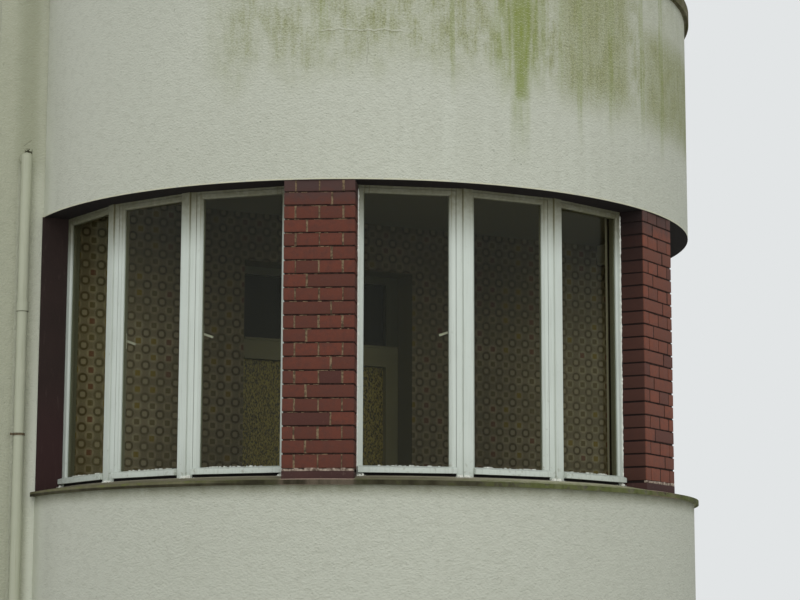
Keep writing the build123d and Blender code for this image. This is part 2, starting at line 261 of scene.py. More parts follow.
# Green drips on the parapet: arc from the bay's middle, half width, foot of the drip, strength
DRIPS = (
    (-1.15, 0.016, 4.62, 0.45),
    (-0.43, 0.010, 4.42, 0.42),
    (-0.12, 0.020, 4.40, 0.55),
    (0.13, 0.014, 4.62, 0.50),
    (0.26, 0.012, 4.50, 0.30),
    (0.40, 0.012, 4.24, 0.40),
    (0.66, 0.018, 4.36, 0.40),
    (0.98, 0.016, 4.34, 0.45),
    (1.24, 0.020, 4.26, 0.45),
)


def wall_stains(s, tone, arc, bay):
    """Green streaks and dark specks that hang down from the coping of the bay."""
    wander = s.mul(s.sub(s.noise(1.0, 2.0, 0.5, s.vector(s.mul(arc, 5.0), 4.3, 0.0)), 0.5), 0.40)
    foot = s.sub(s.sub(4.66, wander), s.mul(s.smooth(arc, 0.20, 0.80), 0.10))
    depth = s.mul(s.smooth(s.sub(s.z, foot), -0.16, 0.22), s.smooth(arc, -1.95, -1.55))
    clear = s.mul(s.smooth(arc, 0.80, 1.05), s.smooth(s.z, 4.98, 5.14))
    thinner = s.add(0.84, s.mul(s.smooth(arc, -1.2, -0.8), 0.16))
    depth = s.mul(depth, s.sub(1.0, s.mul(clear, 0.65)), thinner, bay)
    patch = s.smooth(s.noise(1.0, 5.0, 0.66, s.vector(s.mul(arc, 9.0), 0.0, s.mul(s.z, 5.0))), 0.34, 0.68)
    fibre = s.smooth(s.noise(1.0, 3.0, 0.6, s.vector(s.mul(arc, 40.0), 0.0, s.mul(s.z, 3.2))), 0.28, 0.74)
    grit = s.smooth(s.noise(1.0, 4.0, 0.72, s.vector(s.mul(arc, 110.0), 0.0, s.mul(s.z, 80.0))), 0.50, 0.60)
    stain = s.mul(depth, s.add(0.26, s.mul(patch, 0.74)), s.add(0.55, s.mul(fibre, 0.45)))
    right = s.either(
        s.mul(s.band(arc, 0.55, 0.20, 0.20), s.smooth(s.z, 4.44, 4.74)),
        s.mul(s.smooth(arc, 0.80, 1.15), s.band(s.z, 4.84, 0.16, 0.26), s.smooth(arc, 2.3, 1.9)),
    )
    stain = s.either(stain, s.mul(right, s.add(0.74, s.mul(patch, 0.26)), s.add(0.74, s.mul(fibre, 0.26))))
    tone = s.mix(s.mul(stain, 0.90), tone, srgb(139, 144, 86))
    tone = s.mix(s.mul(stain, grit, 0.66), tone, srgb(88, 92, 54))
    streak = green_streaks(s, arc, fibre)
    tone = s.mix(streak, tone, srgb(127, 140, 58))
    washed = s.smooth(s.noise(1.0, 3.0, 0.6, s.vector(s.mul(arc, 8.0), 0.0, s.mul(s.z, 0.7))), 0.42, 0.72)
    washed = s.mul(washed, s.band(s.z, 4.25, 0.20, 0.18), s.band(arc, 0.1, 0.8, 0.3), s.sub(1.0, streak))
    return s.mix(s.mul(washed, 0.30), tone, srgb(210, 214, 200))


def green_streaks(s, arc, fibre):
    """The main streak, its fringe and tail, and the thin drips."""
    half = s.add(0.026, s.mul(s.smooth(s.z, 4.60, 5.05), 0.022))
    width = s.smooth(s.size(s.add(arc, 0.010)), s.add(half, 0.048), s.sub(half, 0.006))
    core = s.mul(width, s.smooth(s.z, 4.46, 4.58), s.add(0.70, s.mul(fibre, 0.30)))
    fringe = s.mul(s.band(arc, -0.030, 0.10, 0.12), s.smooth(s.z, 4.46, 4.85))
    fringe = s.mul(fringe, s.add(0.15, s.mul(fibre, 0.60)))
    tail = s.mul(s.band(arc, -0.020, 0.040, 0.04), s.smooth(s.z, 4.10, 4.50))
    tail = s.mul(tail, s.add(0.16, s.mul(fibre, 0.28)))
    streak = s.either(s.mul(core, 0.94), s.either(fringe, tail))
    sway = s.mul(s.sub(s.noise(3.0, 2.0), 0.5), 0.03)
    for middle, half, end, strength in DRIPS:
        line = s.mul(s.band(s.add(arc, sway), middle, half, half), s.smooth(s.z, end, end + 0.36), strength)
        streak = s.either(streak, s.mul(line, s.add(0.35, s.mul(fibre, 0.65))))
    return streak


def wall_cracks(s, tone, arc):
    """The sealed crack along the parapet, a pale ridge over its shadow, and a finer one that drops."""
    wander = s.mul(s.sub(s.noise(1.0, 4.0, 0.6, s.vector(s.mul(arc, 9.0), 0.0, 0.0)), 0.5), 0.07)
    height = s.sub(s.z, wander)
    stretch = s.band(arc, -0.93, 0.20, 0.06)
    tone = s.mix(s.mul(s.band(height, 4.868, 0.0026, 0.0026), stretch, 0.45), tone, srgb(206, 208, 192))
    tone = s.mix(s.mul(s.band(height, 4.861, 0.0018, 0.0026), stretch, 0.42), tone, srgb(118, 120, 92))
    wander = s.mul(s.sub(s.noise(1.0, 3.0, 0.6, s.vector(0.0, 0.0, s.mul(s.z, 11.0))), 0.5), 0.04)
    down = s.mul(s.band(s.sub(arc, wander), -0.905, 0.0014, 0.0030), s.band(s.z, 4.755, 0.06, 0.04))
    return s.mix(s.mul(down, 0.38), tone, srgb(118, 120, 96))


def float_grain(s, tone, arc, radius):
    """Grains drawn out sideways by the float, with a painted highlight on their upper sides and painted shade
    under them; returns tone and height.
    """
    def drawn(z):
        return s.vector(s.mul(arc, 0.72), s.mul(radius, 0.72), z)

    grain = s.noise(100.0, 5.0, 0.74, drawn(s.z))
    above = s.noise(100.0, 5.0, 0.74, drawn(s.add(s.z, 0.0036)))
    relief_light = s.sub(grain, above)
    coarse = s.add(0.62, s.mul(s.smooth(arc, -2.9, -1.6), 0.38))
    swell = s.noise(26.0, 3.0, 0.55, drawn(s.z))
    pits = s.smooth(s.noise(120.0, 3.0, 0.6, drawn(s.z)), 0.33, 0.25)
    # Painted highlight on the grains' upper sides and painted shade on their lower sides.
    tone = s.mix(s.mul(s.smooth(relief_light, 0.015, 0.15), s.mul(coarse, 0.30)), tone, srgb(232, 233, 218))
    tone = s.mix(s.mul(s.smooth(relief_light, -0.015, -0.15), s.mul(coarse, 0.34)), tone, srgb(128, 130, 110))
    tone = s.mix(s.mul(s.smooth(swell, 0.52, 0.36), 0.10), tone, srgb(140, 142, 122))
    tone = s.mix(s.mul(pits, 0.40), tone, srgb(108, 110, 92))
    return tone, s.add(s.add(grain, s.mul(swell, 0.3)), s.mul(pits, -0.6))


def corner_tones(s, tone, arc, facade, bay):
    """Painted light where the bay meets the facade and beside the pipe, against the shade of the corner and
    the pipe, and a darker olive band on the facade in the corner above.
    """
    upper = s.smooth(s.z, 4.20, 4.44)
    low = s.smooth(s.z, 3.4, 2.3)
    aside = s.size(s.x)
    # Painted light on the facade beside the junction and on the bay's end, against the shade of the corner.
    beside = s.mul(s.smooth(aside, 2.165, 2.105), s.smooth(s.y, 0.80, 0.86))
    beside = s.mul(beside, s.sub(1.0, s.mul(upper, 0.75)), s.add(0.45, s.mul(low, 0.5)))
    end = s.mul(s.smooth(s.size(arc), 3.04, 3.26), bay)
    end = s.mul(end, s.sub(1.0, s.mul(s.smooth(s.z, 4.05, 4.80), 0.80)))
    tone = s.mix(s.either(beside, end), tone, srgb(226, 229, 213))
    # A darker olive band on the facade in the corner, above the deck.
    olive_band = s.mul(s.band(aside, 2.195, 0.015, 0.095), facade, upper)
    olive_band = s.mul(olive_band, s.smooth(s.y, BAY_Y + 0.10, BAY_Y + 0.02))
    tone = s.mix(s.mul(olive_band, 0.40), tone, srgb(138, 141, 114))
    # Painted light on the facade about the pipe, against the pipe's shade.
    pipe = s.mul(s.band(s.x, PIPE_X, 0.022, 0.02), facade, s.sub(1.0, upper))
    return s.mix(s.mul(pipe, 0.60), tone, srgb(212, 215, 194))


def pipe_hole(s, tone):
    """The ragged hole that the downpipe comes out of, painted dark as the shade inside it, and a scratch
    above it.
    """
    blot = s.add(s.noise(60.0, 3.0, 0.7), s.mul(s.size(s.sub(s.z, DECK + 0.018)), -11.0))
    # The hole is a dark blot of painted shade.
    hole = s.mul(s.smooth(blot, 0.34, 0.42), s.band(s.x, PIPE_X + 0.026, 0.016, 0.012))
    scratch = s.sub(s.z, s.add(DECK + 0.055, s.mul(s.sub(s.x, PIPE_X), 0.8)))
    scratch = s.mul(s.band(scratch, 0.0, 0.002, 0.003), s.band(s.x, PIPE_X + 0.020, 0.020, 0.010), 0.3)
    marks = s.mul(s.either(hole, scratch), s.smooth(s.y, 0.80, 0.86), s.smooth(s.y, 0.90, 0.88))
    return s.mix(marks, tone, srgb(52, 50, 36))


def wall_dirt(s, tone, arc, bay):
    """Dirt under the sill, and splashes above the ground."""
    under = s.mul(s.smooth(s.z, SILL - 0.085, SILL - 0.004), s.smooth(s.z, SILL + 0.02, SILL))
    smear = s.noise(1.0, 4.0, 0.6, s.vector(s.mul(arc, 9.0), 0.0, s.mul(s.z, 4.0)))
    tone = s.mix(s.mul(under, s.add(0.20, s.mul(smear, 0.72)), bay), tone, srgb(98, 98, 64))
    splash = s.mul(s.smooth(s.z, 0.45, 0.02), s.smooth(s.noise(7.0, 4.0, 0.6), 0.35, 0.65))
    return s.mix(s.mul(splash, 0.5), tone, srgb(118, 116, 90))


def parapet_foot(s, tone, radius):
    """The lit arris and the dark paint of the soffit, both only on the bay; returns tone and soffit."""
    bay = s.smooth(radius, PARAPET_RADIUS + 0.009, PARAPET_RADIUS + 0.006)
    chips = s.smooth(s.noise(26.0, 3.0, 0.6), 0.34, 0.46)
    arris = s.mul(s.band(s.z, SOFFIT + 0.004, 0.0035, 0.002), s.smooth(radius, 2.05, 2.07), bay, chips)
    tone = s.mix(s.mul(arris, 0.62), tone, srgb(212, 210, 178))
    soffit = s.mul(s.smooth(s.z, SOFFIT + 0.0015, SOFFIT + 0.0005), bay)
    soffit = s.mul(soffit, s.smooth(s.z, SOFFIT - 0.2, SOFFIT - 0.1))
    return s.mix(soffit, tone, srgb(36, 31, 30)), soffit


def room_side(s, tone, radius):
    """Plaster in the room and on the back, paper behind the bay, a darker tone in the opening there."""
    house = s.smooth(s.y, BAY_Y - 0.004, BAY_Y - 0.002)
    back = s.smooth(s.y, BAY_Y + HOUSE_WALL - 0.008, BAY_Y + HOUSE_WALL - 0.004)
    room = s.either(s.smooth(radius, 1.852, 1.848), s.mul(house, s.smooth(radius, 1.900, 1.896)))
    room = s.mul(room, s.smooth(s.z, 1.0, 1.02), s.smooth(s.z, 4.32, 4.30), s.sub(1.0, back))
    plain = s.either(room, back)
    plaster = s.mix(s.smooth(s.noise(2.6, 4.0, 0.6), 0.35, 0.65), srgb(188, 183, 166), srgb(176, 170, 152))
    tone = s.mix(plain, tone, plaster)
    tone = s.mix(s.mul(room, house), tone, paper_colour(s))
    deep = s.mul(room, s.smooth(s.y, BAY_Y + 0.001, BAY_Y + 0.003))
    return s.mix(deep, tone, srgb(92, 86, 66)), plain


def wall_render():
    """The walls outside with their stains and dirt, painted light and shade, and what covers them on the
    room's side.
    """
    s = Shader("wall_render")
    azimuth, radius = s.turned()
    arc = s.mul(azimuth, BAY_RADIUS)
    facade = s.smooth(s.y, BAY_Y - 0.004, BAY_Y - 0.001)
    bay = s.sub(1.0, facade)
    tone = s.mix(s.noise(1.3, 3.0, 0.5), srgb(200, 203, 188), srgb(190, 193, 178))
    # Painted light: the bay paler towards its left end, against the shade it gets near the corner.
    tone = s.mix(s.mul(s.smooth(arc, -2.2, -3.0), bay, 0.5), tone, srgb(206, 208, 194))
    tone = s.mix(s.mul(facade, 0.9), tone, srgb(176, 178, 155))
    tone = wall_stains(s, tone, arc, bay)
    tone, height = float_grain(s, tone, arc, radius)
    tone = wall_cracks(s, tone, arc)
    tone = corner_tones(s, tone, arc, facade, bay)
    tone = pipe_hole(s, tone)
    tone = wall_dirt(s, tone, arc, bay)
    tone, soffit = parapet_foot(s, tone, radius)
    tone, plain = room_side(s, tone, radius)
    smoother = s.mul(s.either(plain, soffit), 0.85)
    height = s.mix(smoother, height, (0.5, 0.5, 0.5, 1.0))
    return s.finish(tone, 0.95, s.bump(height, 0.012, 0.8), 0.2)


def paper_colour(s):
    """Faded wallpaper: dark rings round pale squares in a grid, and squares in pale rounds between them."""
    across = s.divide(s.x, PAPER_PITCH)
    up = s.divide(s.z, PAPER_PITCH)
    u = s.size(s.sub(s.math("FRACT", across), 0.5))
    v = s.size(s.sub(s.math("FRACT", up), 0.5))
    distance = s.length(u, v)
    corner_u = s.sub(0.5, u)
    corner_v = s.sub(0.5, v)
    corner = s.length(corner_u, corner_v)
    column = s.math("ROUND", across)
    row = s.math("ROUND", up)
    pick = s.random_of(column)
    odd = s.random_of(s.add(s.mul(column, 31.0), row))
    faded = s.smooth(s.noise(5.0, 3.0, 0.6), 0.35, 0.65)
    tone = s.mix(faded, srgb(154, 142, 120), srgb(138, 127, 105))
    rings = s.mix(faded, srgb(100, 88, 66), srgb(115, 104, 80))
    tone = s.mix(s.band(distance, 0.245, 0.035, 0.06), tone, rings)
    tone = s.mix(s.smooth(s.either(u, v), 0.17, 0.11), tone, srgb(170, 158, 134))
    rounds = s.mix(faded, srgb(180, 168, 142), srgb(160, 148, 124))
    tone = s.mix(s.smooth(corner, 0.34, 0.27), tone, rounds)
    square = s.mix(s.smooth(pick, 0.45, 0.5), srgb(150, 130, 64), srgb(132, 96, 78))
    square = s.mix(s.smooth(odd, 0.40, 0.44), square, srgb(124, 112, 82))
    tone = s.mix(s.smooth(s.either(corner_u, corner_v), 0.19, 0.15), tone, square)
    middle = s.smooth(s.size(s.add(s.x, 0.1)), 1.65, 0.95)
    tone = s.mix(s.mul(middle, 0.70), tone, srgb(152, 148, 146), "MULTIPLY")
    # Painted shade towards the top of the room.
    high = s.smooth(s.z, 3.3, 4.0)
    return s.mix(s.mul(high, 0.50), tone, srgb(118, 116, 112), "MULTIPLY")


def head_dirt_and_shade(s, tone, patch, edge, set_back):
    """Dirt and painted shade in the grooves beside the strips and posts, and down from the head under the
    soffit; returns tone and grooves.
    """
    high = s.smooth(s.z, 3.70, 4.01)
    groove = s.mul(s.band(edge, POST + 0.001, 0.0012, 0.002), set_back)
    groove = s.either(groove, s.band(edge, STRIP, 0.0012, 0.003))
    groove = s.either(groove, s.band(edge, 0.0, 0.0010, 0.003))
    tone = s.mix(s.mul(groove, s.add(0.14, s.mul(high, 0.66))), tone, srgb(98, 94, 64))
    # Dirt and painted shade of the soffit, darkest at the head.
    head = s.add(s.mul(s.smooth(s.z, 3.64, 4.02), 0.80), s.mul(high, s.smooth(patch, 0.25, 0.75), 0.16))
    return s.mix(head, tone, srgb(90, 86, 55)), groove


def worn_foot(s, tone, patch):
    """Grime and bare wood near the foot; returns tone and bare wood."""
    low = s.smooth(s.z, 2.58, 2.45)
    grime = s.smooth(s.add(patch, s.mul(low, 0.08)), 0.62, 0.74)
    tone = s.mix(s.mul(grime, 0.40), tone, srgb(134, 134, 112))
    bare = s.smooth(s.add(patch, s.mul(low, 0.06)), 0.74, 0.77)
    return s.mix(s.mul(bare, 0.8), tone, srgb(112, 104, 86)), bare


def last_window(s, tone, patch, edge, across):
    """The middle group's right window: marks along its bottom rail, bare wood up its stile."""
    east = s.mul(s.smooth(s.x, 0.95, 1.10), s.smooth(s.y, -0.9, -0.7), s.smooth(s.x, 1.35, 1.25))
    marks = s.mul(s.band(s.z, 2.481, 0.007, 0.006), s.smooth(patch, 0.40, 0.55))
    tone = s.mix(s.mul(east, marks, 0.75), tone, srgb(92, 92, 62))
    peeled = s.smooth(s.add(patch, s.mul(s.smooth(s.z, 3.30, 2.85), 0.16)), 0.56, 0.60)
    peeled = s.mul(peeled, s.band(edge, 0.028, 0.008, 0.004))
    peeled = s.mul(peeled, s.smooth(s.z, 2.56, 2.62), s.smooth(across, 0.0, 0.1))
    return s.mix(s.mul(east, peeled, 0.85), tone, srgb(118, 92, 72))


def old_paint():
    """White paint on the window wood, with painted shade on its sides behind the glass and a painted shadow
    in the gap under the sashes.
    """
    s = Shader("window_paint")
    across, proud = s.in_unit()
    edge = s.sub(UNIT_HALF, s.size(across))
    set_back = s.smooth(proud, 0.004, 0.002)
    patch = s.noise(38.0, 5.0, 0.65)
    tone = s.mix(s.noise(4.0, 3.0), srgb(205, 213, 203), srgb(190, 198, 189))
    streaks = s.smooth(s.noise(1.0, 4.0, 0.6, s.scaled(120.0, 120.0, 3.0)), 0.50, 0.70)
    tone = s.mix(s.mul(streaks, 0.26), tone, srgb(150, 156, 142))
    tone, groove = head_dirt_and_shade(s, tone, patch, edge, set_back)
    # Painted shade on the wood behind the glass.
    inner_shade = s.smooth(proud, -0.0205, -0.0225)
    tone = s.mix(s.mul(inner_shade, 0.85), tone, srgb(108, 104, 84))
    tone, bare = worn_foot(s, tone, patch)
    tone = last_window(s, tone, patch, edge, across)
    # Painted shadow in the gap under the sashes.
    gap = s.mul(s.smooth(s.z, SASH_FOOT - 0.001, SASH_FOOT - 0.003), set_back)
    gap = s.mul(gap, s.smooth(edge, POST, POST + 0.002))
    tone = s.mix(gap, tone, srgb(22, 18, 18))
    height = s.add(s.mul(patch, 0.25), s.add(s.mul(bare, -0.6), s.mul(groove, -0.8)))
    rough = s.add(0.42, s.mul(s.either(bare, gap), 0.5))
    return s.finish(tone, rough, s.bump(height, 0.0014, 0.8))


def flaking_paint():
    """Loose chips of paint, putty crumbs and beads of filler, white to grey by body."""
    s = Shader("flaking_paint")
    tone = s.body_tone()
    colour = s.mix(tone, srgb(188, 190, 178), srgb(232, 234, 224))
    colour = s.mix(s.mul(s.smooth(s.noise(180.0, 3.0, 0.6), 0.58, 0.70), 0.4), colour, srgb(132, 128, 108))
    return s.finish(colour, 0.6, s.bump(s.noise(220.0, 3.0), 0.001, 0.6))


def board_paint():
    s = Shader("board_paint")
    tone = s.mix(s.noise(5.0, 3.0), srgb(206, 200, 184), srgb(188, 182, 166))
    grain = s.noise(1.0, 4.0, 0.6, s.scaled(8.0, 60.0, 60.0))
    tone = s.mix(s.mul(s.smooth(grain, 0.5, 0.7), 0.3), tone, srgb(150, 140, 120))
    return s.finish(tone, 0.45, s.bump(grain, 0.0006, 0.5))


def brick_clay():
    s = Shader("brick_clay")
    azimuth, _ = s.turned()
    tone = s.body_tone()
    cloud = s.noise(28.0, 5.0, 0.65)
    fired = s.mix(tone, srgb(104, 66, 54), srgb(124, 73, 57))
    fired = s.mix(s.mul(s.smooth(cloud, 0.38, 0.68), 0.7), fired, srgb(102, 68, 58))
    fired = s.mix(s.smooth(tone, 0.05, 0.03), fired, srgb(94, 62, 54))
    dust = s.smooth(s.noise(120.0, 4.0, 0.7), 0.56, 0.74)
    fired = s.mix(s.mul(dust, 0.30), fired, srgb(134, 102, 84))
    pores = s.smooth(s.noise(240.0, 3.0, 0.6), 0.36, 0.28)
    fired = s.mix(s.mul(pores, 0.5), fired, srgb(52, 34, 28))
    # Painted shade: the left pier's bricks are darkened below the right pier's, which gets more of the light.
    fired = s.mix(s.mul(s.smooth(azimuth, 0.1, -0.1), 0.80), fired, srgb(198, 190, 194), "MULTIPLY")
    # Painted shade of the soffit on the top courses.
    soffit_shade = s.smooth(s.add(s.z, s.mul(cloud, 0.10)), FIRST_JOINT - 0.06, SOFFIT + 0.03)
    fired = s.mix(s.mul(soffit_shade, 0.75), fired, srgb(70, 58, 56))

    # The reveals that face left are darkened with painted shade of the soffit and some dirt, darkest near the
    # top
    nearest = s.mul(s.math("SIGN", azimuth), PIER_AZIMUTH)
    reveal = s.smooth(s.behind_pier_face(), 0.003, 0.010)
    reveal = s.mul(reveal, s.smooth(s.sub(azimuth, nearest), 0.0, -0.02))
    shade = s.mix(s.smooth(s.z, 3.2, 4.0), srgb(66, 44, 38), srgb(26, 22, 22))
    fired = s.mix(s.mul(reveal, 0.88), fired, shade)
    height = s.add(s.noise(150.0, 5.0, 0.65), s.mul(cloud, 0.8))
    return s.finish(fired, 0.88, s.bump(height, 0.0028, 0.8), 0.25)


def mortar(name, light, dark, reveal_shade):
    s = Shader(name)
    tone = s.mix(s.smooth(s.noise(46.0, 4.0, 0.6), 0.35, 0.65), light, dark)
    # Painted shade on the mortar deep in the reveals.
    tone = s.mix(s.smooth(s.behind_pier_face(), 0.012, 0.020), tone, reveal_shade)
    _, radius = s.turned()
    tone = s.mix(s.smooth(radius, 1.815, 1.805), tone, srgb(186, 180, 166))
    return s.finish(tone, 0.95, s.bump(s.noise(190.0, 4.0, 0.6), 0.002, 0.8), 0.2)


def plinth_paint():
    s = Shader("plinth_paint")
    worn = s.smooth(s.noise(45.0, 4.0, 0.65), 0.60, 0.70)
    tone = s.mix(s.noise(9.0, 3.0), srgb(76, 52, 48), srgb(60, 42, 40))
    tone = s.mix(s.mul(worn, 0.4), tone, srgb(104, 86, 78))
    ragged = s.add(s.z, s.mul(s.sub(s.noise(60.0, 3.0), 0.5), 0.012))
    tone = s.mix(s.mul(s.smooth(ragged, SILL + 0.012, SILL + 0.004), 0.6), tone, srgb(146, 126, 116))
    return s.finish(tone, 0.8, s.bump(s.noise(120.0, 4.0), 0.002, 0.7), 0.25)


def sill_mortar():
    """Olive cement: pale beside the frames, dark at its edge, mossy to the right, reddish at the piers."""
    s = Shader("sill_mortar")
    azimuth, radius = s.turned()
    cloud = s.noise(1.0, 5.0, 0.6, s.vector(s.mul(azimuth, 24.0), s.mul(radius, 60.0), s.z))
    cloud = s.smooth(cloud, 0.35, 0.65)
    right = s.smooth(azimuth, -0.30, 0.10)
    tone = s.mix(cloud, srgb(124, 118, 98), srgb(98, 93, 75))
    tone = s.mix(s.mul(right, 0.8), tone, s.mix(cloud, srgb(192, 190, 164), srgb(166, 167, 136)))
    tone = s.mix(s.smooth(radius, 1.99, 1.94), tone, srgb(150, 145, 124))
    tone = s.mix(s.mul(s.smooth(radius, 2.03, 2.10), s.sub(0.45, s.mul(right, 0.2))), tone, srgb(96, 98, 64))
    spread = s.add(s.noise(22.0, 4.0, 0.65), s.mul(right, 0.10))
    moss = s.mul(s.smooth(spread, 0.50, 0.64), s.smooth(radius, 1.98, 2.04))
    tone = s.mix(s.mul(moss, 0.58), tone, srgb(104, 111, 56))
    pier = s.mul(s.band(s.size(azimuth), PIER_AZIMUTH, 0.088, 0.014), s.smooth(radius, 2.05, 2.07))
    tone = s.mix(s.mul(pier, 0.8), tone, srgb(176, 156, 138))
    # Dark front edge, low down and all along the left: dirt and moss with painted shade under the nosing.
    lower = s.either(s.smooth(s.z, SILL + 0.016, SILL + 0.010), s.smooth(azimuth, -0.95, -0.70))
    front = s.mul(s.smooth(radius, SILL_FRONT - 0.006, SILL_FRONT - 0.0015), lower)
    edge_tone = s.mix(s.mul(right, s.smooth(spread, 0.44, 0.60)), srgb(44, 41, 28), srgb(82, 88, 48))
    tone = s.mix(s.mul(front, s.add(0.76, s.mul(cloud, 0.22))), tone, edge_tone)
    height = s.add(s.noise(70.0, 5.0, 0.6), s.add(s.mul(moss, 0.6), s.mul(s.noise(260.0, 3.0), 0.4)))
    return s.finish(tone, 0.95, s.bump(height, 0.005, 0.8), 0.2)


def coping_mortar():
    s = Shader("coping_mortar")
    azimuth, _ = s.turned()
    cloud = s.smooth(s.noise(11.0, 5.0, 0.6), 0.35, 0.65)
    tone = s.mix(cloud, srgb(106, 101, 78), srgb(82, 77, 56))
    moss = s.smooth(s.noise(26.0, 4.0, 0.65), 0.48, 0.62)
    tone = s.mix(s.mul(moss, 0.7), tone, srgb(86, 90, 48))
    seam = s.band(s.size(azimuth), PIER_AZIMUTH, 0.0015, 0.0015)
    tone = s.mix(s.mul(seam, 0.8), tone, srgb(40, 38, 28))
    height = s.add(s.noise(70.0, 5.0, 0.6), s.add(s.mul(moss, 0.5), s.mul(seam, -1.5)))
    return s.finish(tone, 0.93, s.bump(height, 0.005, 0.8), 0.2)


def dark_paint():
    """Brown-black paint of the jambs, redder towards the foot."""
    s = Shader("jamb_paint")
    tone = s.mix(s.noise(6.0, 3.0), srgb(50, 38, 35), srgb(42, 33, 30))
    tone = s.mix(s.mul(s.smooth(s.z, 3.2, 2.6), 0.5), tone, srgb(60, 36, 37))
    wear = s.smooth(s.noise(1.0, 4.0, 0.6, s.scaled(60.0, 60.0, 9.0)), 0.60, 0.72)
    tone = s.mix(s.mul(wear, 0.35), tone, srgb(74, 60, 56))
    return s.finish(tone, 0.75, s.bump(s.noise(110.0, 4.0), 0.002, 0.6), 0.25)


def pipe_paint():
    s = Shader("pipe_paint")
    tone = s.mix(s.noise(5.0, 3.0), srgb(177, 180, 158), srgb(165, 168, 146))
    runs = s.smooth(s.noise(1.0, 4.0, 0.6, s.scaled(90.0, 90.0, 3.0)), 0.55, 0.72)
    tone = s.mix(s.mul(runs, 0.3), tone, srgb(132, 132, 104))
    joint = s.band(s.z, PIPE_COLLAR_FOOT, 0.0012, 0.0015)
    tone = s.mix(s.mul(joint, 0.8), tone, srgb(84, 84, 64))
    return s.finish(tone, 0.6, s.bump(s.add(s.noise(50.0, 3.0), s.mul(joint, -2.0)), 0.001, 0.6))


def old_iron():
    s = Shader("old_iron")
    tone = s.mix(s.smooth(s.noise(70.0, 4.0, 0.6), 0.35, 0.65), srgb(72, 62, 46), srgb(104, 92, 70))
    return s.finish(tone, 0.8, s.bump(s.noise(160.0, 4.0), 0.0012, 0.8))


def clear_glass():
    """Thin sheet: what is behind shows through, with a gloss that grows at a slant."""
    s = Shader("window_pane")
    facing = s.node("ShaderNodeLayerWeight", {"Blend": 0.5}).outputs["Facing"]
    fresnel = s.add(0.04, s.mul(s.math("POWER", facing, 5.0), 0.96))
    wave = s.bump(s.noise(5.0, 2.0), 0.004, 0.12)
    sheen = {"Color": (0.22, 0.23, 0.22, 1), "Roughness": 0.03, "Normal": wave}
    gloss = s.node("ShaderNodeBsdfGlossy", sheen)
    through = s.node("ShaderNodeBsdfTransparent", {"Color": (0.87, 0.875, 0.81, 1)})
    mixed = s.node("ShaderNodeMixShader", {0: fresnel, 1: through.outputs[0], 2: gloss.outputs[0]})
    s.node("ShaderNodeOutputMaterial", {"Surface": mixed.outputs[0]})
    return s.material


def ornament_glass():
    """Yellowish patterned glass, which blurs what is behind it."""
    s = Shader("ornament_glass")
    dimple = s.noise(1.0, 2.0, 0.6, s.scaled(150.0, 150.0, 66.0))
    tone = s.mix(s.smooth(dimple, 0.40, 0.60), srgb(160, 142, 64), srgb(68, 60, 28))
    upper = s.smooth(s.z, SCREEN_LIGHT, SCREEN_LIGHT + 0.01)
    tone = s.mix(upper, tone, srgb(40, 37, 30))
    return s.finish(tone, s.add(0.35, s.mul(upper, 0.4)), s.bump(dimple, 0.002, 0.6))


def screen_paint():
    s = Shader("screen_paint")
    tone = s.mix(s.noise(6.0, 3.0), srgb(128, 122, 94), srgb(110, 105, 80))
    grain = s.noise(1.0, 4.0, 0.6, s.scaled(90.0, 90.0, 5.0))
    tone = s.mix(s.mul(s.smooth(grain, 0.5, 0.7), 0.35), tone, srgb(104, 98, 74))
    tone = s.mix(s.mul(s.smooth(s.z, 3.415, 3.440), 0.8), tone, srgb(56, 53, 40))
    return s.finish(tone, 0.5, s.bump(grain, 0.0008, 0.5))


def brushed_alloy():
    s = Shader("handle_alloy")
    tone = s.mix(s.noise(40.0, 3.0), srgb(226, 226, 220), srgb(200, 200, 194))
    return s.finish(tone, 0.35, s.bump(s.noise(300.0, 2.0), 0.0003, 0.5))


def floor_boards():
    s = Shader("floor_boards")
    across = s.divide(s.x, BOARD_WIDTH)
    shade = s.random_of(s.math("FLOOR", across))
    grain = s.noise(1.0, 4.0, 0.6, s.scaled(90.0, 4.0, 90.0))
    tone = s.mix(shade, srgb(128, 92, 58), srgb(104, 74, 46))
    tone = s.mix(s.mul(grain, 0.5), tone, srgb(82, 56, 34))
    gap = s.smooth(s.size(s.sub(s.math("FRACT", across), 0.5)), 0.485, 0.495)
    tone = s.mix(gap, tone, srgb(34, 24, 16))
    return s.finish(tone, 0.5, s.bump(s.add(grain, s.mul(gap, -2.0)), 0.001, 0.6))


def deck_felt():
    """Roofing felt on the terrace, and plaster on the ceiling under it darkened with painted shade."""
    s = Shader("deck_felt")
    tone = s.mix(s.noise(3.0, 4.0), srgb(104, 102, 96), srgb(80, 80, 74))
    tone = s.mix(s.mul(s.smooth(s.noise(1.6, 2.0), 0.5, 0.62), 0.5), tone, srgb(76, 82, 58))
    lap = s.band(s.math("FRACT", s.divide(s.x, FELT_WIDTH)), 0.5, 0.003, 0.002)
    tone = s.mix(s.mul(lap, 0.7), tone, srgb(40, 40, 36))
    # Painted shade on the ceiling, for the dark top of the room.
    tone = s.mix(s.smooth(s.z, CEILING + 0.10, CEILING + 0.09), tone, srgb(98, 93, 76))
    return s.finish(tone, 0.9, s.bump(s.add(s.noise(240.0, 3.0), lap), 0.002, 0.7))


def paint(material, *names):
    """Give CAD nodes a material; names may end in a star."""
    for name, node in nodes.items():
        if any(name == n or (n.endswith("*") and name.startswith(n[:-1])) for n in names):
            node.data.materials.clear()
            node.data.materials.append(material)


